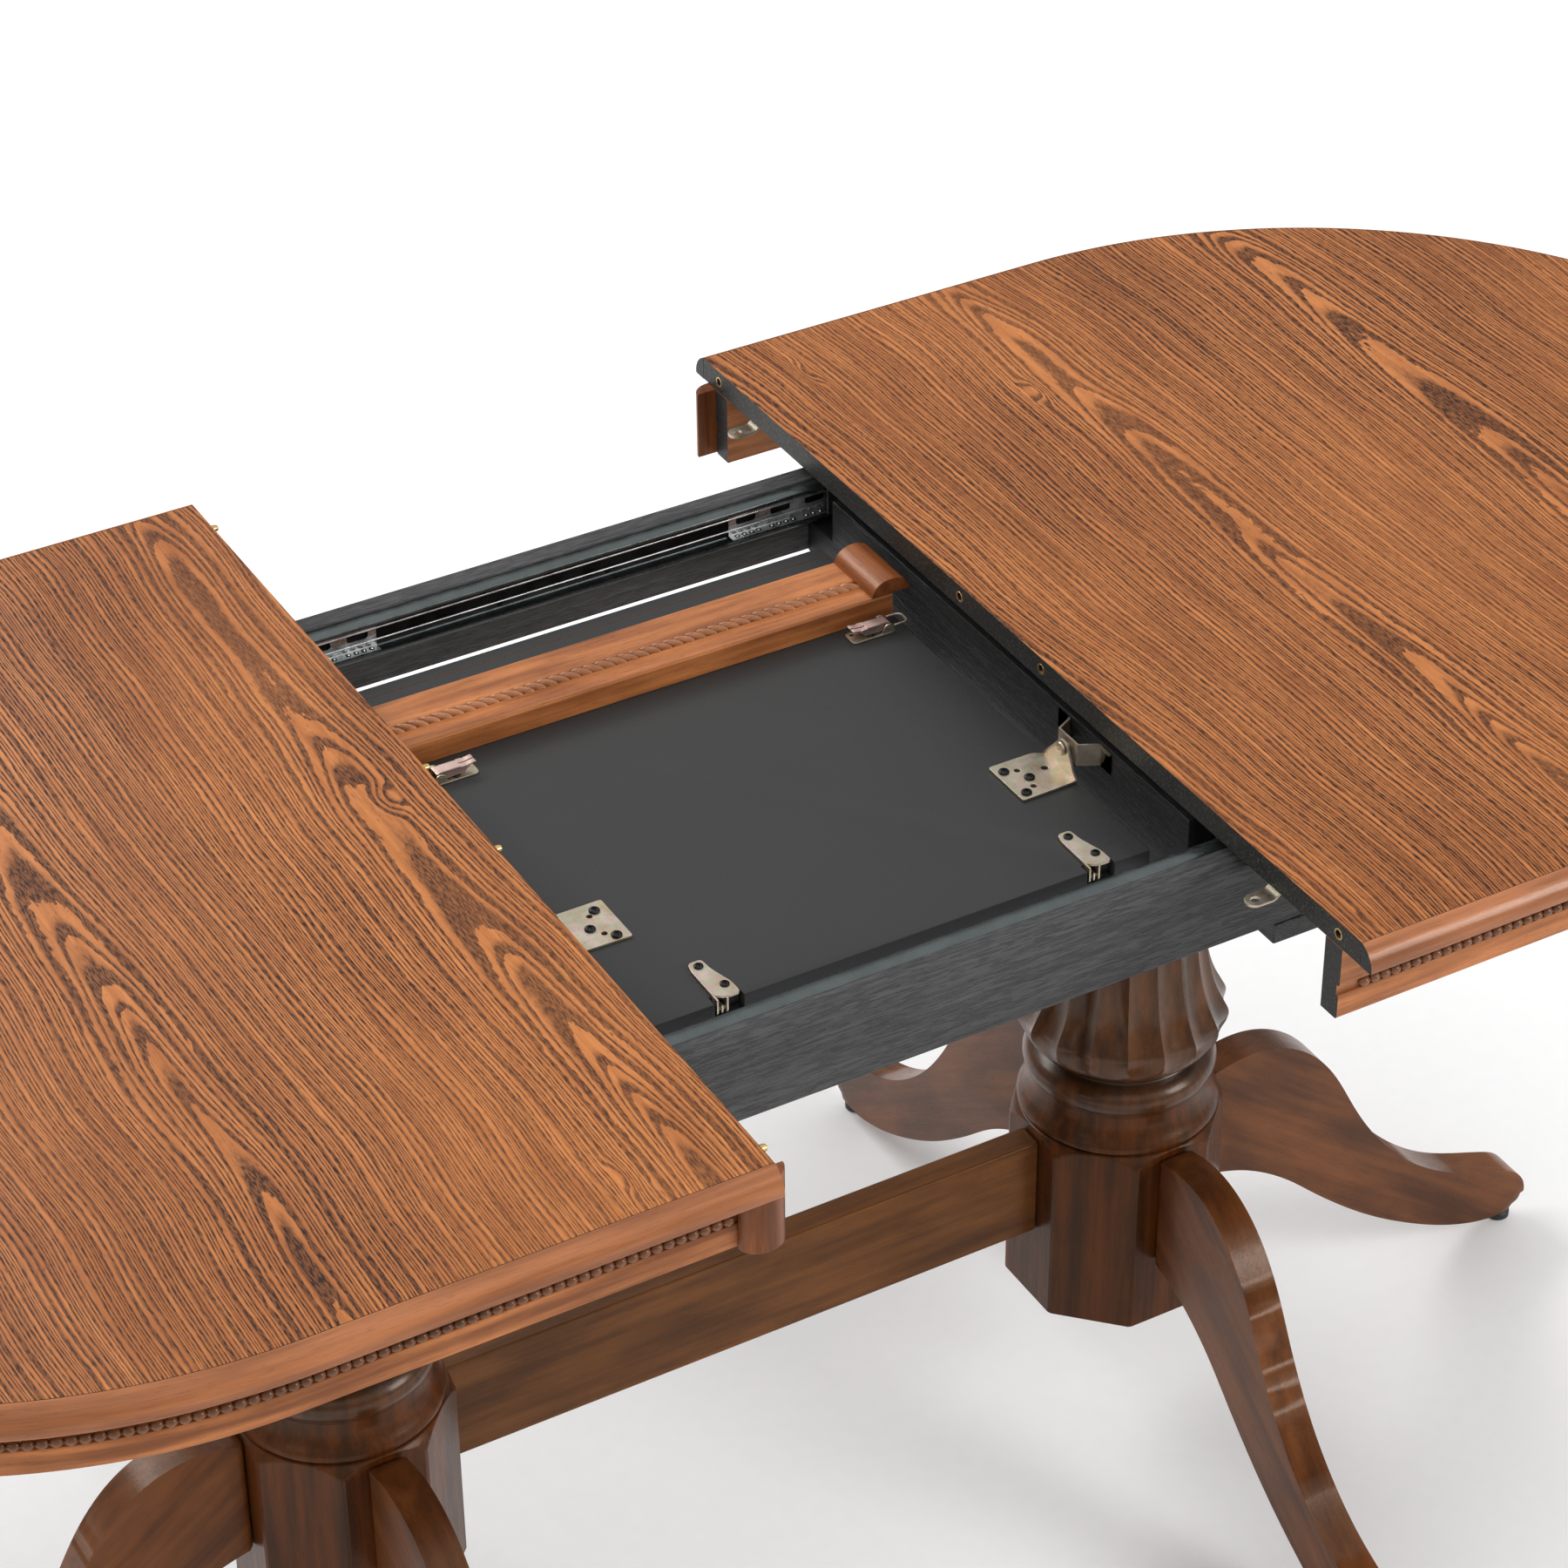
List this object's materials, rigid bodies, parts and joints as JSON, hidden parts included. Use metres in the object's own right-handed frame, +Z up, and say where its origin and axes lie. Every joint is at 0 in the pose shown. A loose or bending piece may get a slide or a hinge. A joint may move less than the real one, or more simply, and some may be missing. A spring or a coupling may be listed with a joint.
{
  "type": "extendable dining table",
  "caption": "Oval double-pedestal dining table with two half tops on ball slides and a butterfly leaf stored folded between them.",
  "frame": {"origin": "on the floor under the middle of the table, in the middle of the bounding box's bottom face", "axes": "+X along the table's length, +Y towards its far long side, +Z up; the rest pose is drawn apart with the leaf stored folded"},
  "size_m": [1.9448, 0.9, 0.78],
  "materials": {
    "veneer": "satin lacquered figured ash veneer, warm orange brown",
    "leaf_board": "dark grey backing foil on the underside, veneered on the hidden face",
    "moulding_wood": "glossy brown stained hardwood moulding",
    "turned_wood": "glossy dark brown stained hardwood",
    "frame_wood": "black painted rough softwood",
    "slide_zinc": "blue zinc plated steel",
    "cage_zinc": "zinc plated thin steel",
    "hardware_zinc": "yellow passivated zinc plate",
    "wire": "bare stranded steel wire"
  },
  "bodies": {
    "base": {"rail_near": "frame_wood", "rail_far": "frame_wood", "cross_left": "frame_wood", "cross_right": "frame_wood", "bearer_left": "frame_wood", "bearer_right": "frame_wood", "pedestal_left": "turned_wood", "pedestal_right": "turned_wood", "stretcher": "turned_wood", "leg_left_end": "turned_wood", "leg_left_near": "turned_wood", "leg_left_far": "turned_wood", "leg_right_end": "turned_wood", "leg_right_near": "turned_wood", "leg_right_far": "turned_wood", "slide_outer_near": "slide_zinc", "slide_outer_far": "slide_zinc", "cable_near": "wire", "cable_far": "wire", "pivot_bracket_left": "hardware_zinc", "pivot_bracket_right": "hardware_zinc"},
    "half_left": {"top_left": "veneer", "moulding_left": "moulding_wood", "apron_left": "moulding_wood", "post_left": "moulding_wood", "slide_inner_left_near": "slide_zinc", "slide_inner_left_far": "slide_zinc", "tab_left_near": "slide_zinc", "tab_left_far": "slide_zinc"},
    "half_right": {"top_right": "veneer", "moulding_right": "moulding_wood", "apron_right": "moulding_wood", "post_right": "moulding_wood", "slide_inner_right_near": "slide_zinc", "slide_inner_right_far": "slide_zinc", "tab_right_near": "slide_zinc", "tab_right_far": "slide_zinc"},
    "ball_cage_left_near": {"cage_left_near": "cage_zinc"},
    "ball_cage_left_far": {"cage_left_far": "cage_zinc"},
    "ball_cage_right_near": {"cage_right_near": "cage_zinc"},
    "ball_cage_right_far": {"cage_right_far": "cage_zinc"},
    "leaf_a": {"leaf_panel_a": "leaf_board", "leaf_moulding_a": "moulding_wood", "pivot_plate_left": "hardware_zinc", "pivot_plate_right": "hardware_zinc", "fold_hinge_left": "hardware_zinc", "fold_hinge_right": "hardware_zinc", "latch_base_a_left": "hardware_zinc", "latch_base_a_right": "hardware_zinc"},
    "leaf_b": {"leaf_panel_b": "leaf_board", "leaf_moulding_b": "moulding_wood", "latch_base_b_left": "hardware_zinc", "latch_base_b_right": "hardware_zinc"},
    "leaf_apron_a": {"leaf_apron_a": "moulding_wood"},
    "latch_a_left": {"latch_handle_a_left": "hardware_zinc"},
    "latch_a_right": {"latch_handle_a_right": "hardware_zinc"},
    "leaf_apron_b": {"leaf_apron_b": "moulding_wood"},
    "latch_b_left": {"latch_handle_b_left": "hardware_zinc"},
    "latch_b_right": {"latch_handle_b_right": "hardware_zinc"}
  },
  "joints": [
    {"name": "half_left_slide", "type": "slide", "parent": "base", "child": "half_left", "axis": [-1, 0, 0], "range_m": [-0.216, 0]},
    {"name": "half_right_slide", "type": "slide", "parent": "base", "child": "half_right", "axis": [1, 0, 0], "range_m": [-0.216, 0]},
    {"name": "cage_left_near_slide", "type": "slide", "parent": "base", "child": "ball_cage_left_near", "axis": [-1, 0, 0], "range_m": [-0.108, 0]},
    {"name": "cage_left_far_slide", "type": "slide", "parent": "base", "child": "ball_cage_left_far", "axis": [-1, 0, 0], "range_m": [-0.108, 0]},
    {"name": "cage_right_near_slide", "type": "slide", "parent": "base", "child": "ball_cage_right_near", "axis": [1, 0, 0], "range_m": [-0.108, 0]},
    {"name": "cage_right_far_slide", "type": "slide", "parent": "base", "child": "ball_cage_right_far", "axis": [1, 0, 0], "range_m": [-0.108, 0]},
    {"name": "leaf_swing", "type": "hinge", "parent": "base", "child": "leaf_a", "pos_m": [0, -0.111, 0.74275], "axis": [1, 0, 0], "range_deg": [0, 180]},
    {"name": "leaf_fold", "type": "hinge", "parent": "leaf_a", "child": "leaf_b", "pos_m": [0, -0.222, 0.7052], "axis": [-1, 0, 0], "range_deg": [0, 130]},
    {"name": "leaf_apron_a_fold", "type": "hinge", "parent": "leaf_a", "child": "leaf_apron_a", "pos_m": [0, 0.1779, 0.7243], "axis": [-1, 0, 0], "range_deg": [0, 90]},
    {"name": "leaf_apron_b_fold", "type": "hinge", "parent": "leaf_b", "child": "leaf_apron_b", "pos_m": [0, 0.1779, 0.6862], "axis": [1, 0, 0], "range_deg": [0, 90]},
    {"name": "latch_a_left_lever", "type": "hinge", "parent": "leaf_a", "child": "latch_a_left", "pos_m": [-0.184, 0.098, 0.73], "axis": [0, -1, 0], "range_deg": [0, 110]},
    {"name": "latch_a_right_lever", "type": "hinge", "parent": "leaf_a", "child": "latch_a_right", "pos_m": [0.184, 0.106, 0.73], "axis": [0, 1, 0], "range_deg": [0, 110]},
    {"name": "latch_b_left_lever", "type": "hinge", "parent": "leaf_b", "child": "latch_b_left", "pos_m": [-0.184, 0.106, 0.6805], "axis": [0, 1, 0], "range_deg": [0, 110]},
    {"name": "latch_b_right_lever", "type": "hinge", "parent": "leaf_b", "child": "latch_b_right", "pos_m": [0.184, 0.098, 0.6805], "axis": [0, -1, 0], "range_deg": [0, 110]}
  ],
  "couplings": [
    {"joint": "half_right_slide", "follows": "half_left_slide", "ratio": 1},
    {"joint": "cage_left_near_slide", "follows": "half_left_slide", "ratio": 0.5},
    {"joint": "cage_left_far_slide", "follows": "half_left_slide", "ratio": 0.5},
    {"joint": "cage_right_near_slide", "follows": "half_left_slide", "ratio": 0.5},
    {"joint": "cage_right_far_slide", "follows": "half_left_slide", "ratio": 0.5}
  ]
}
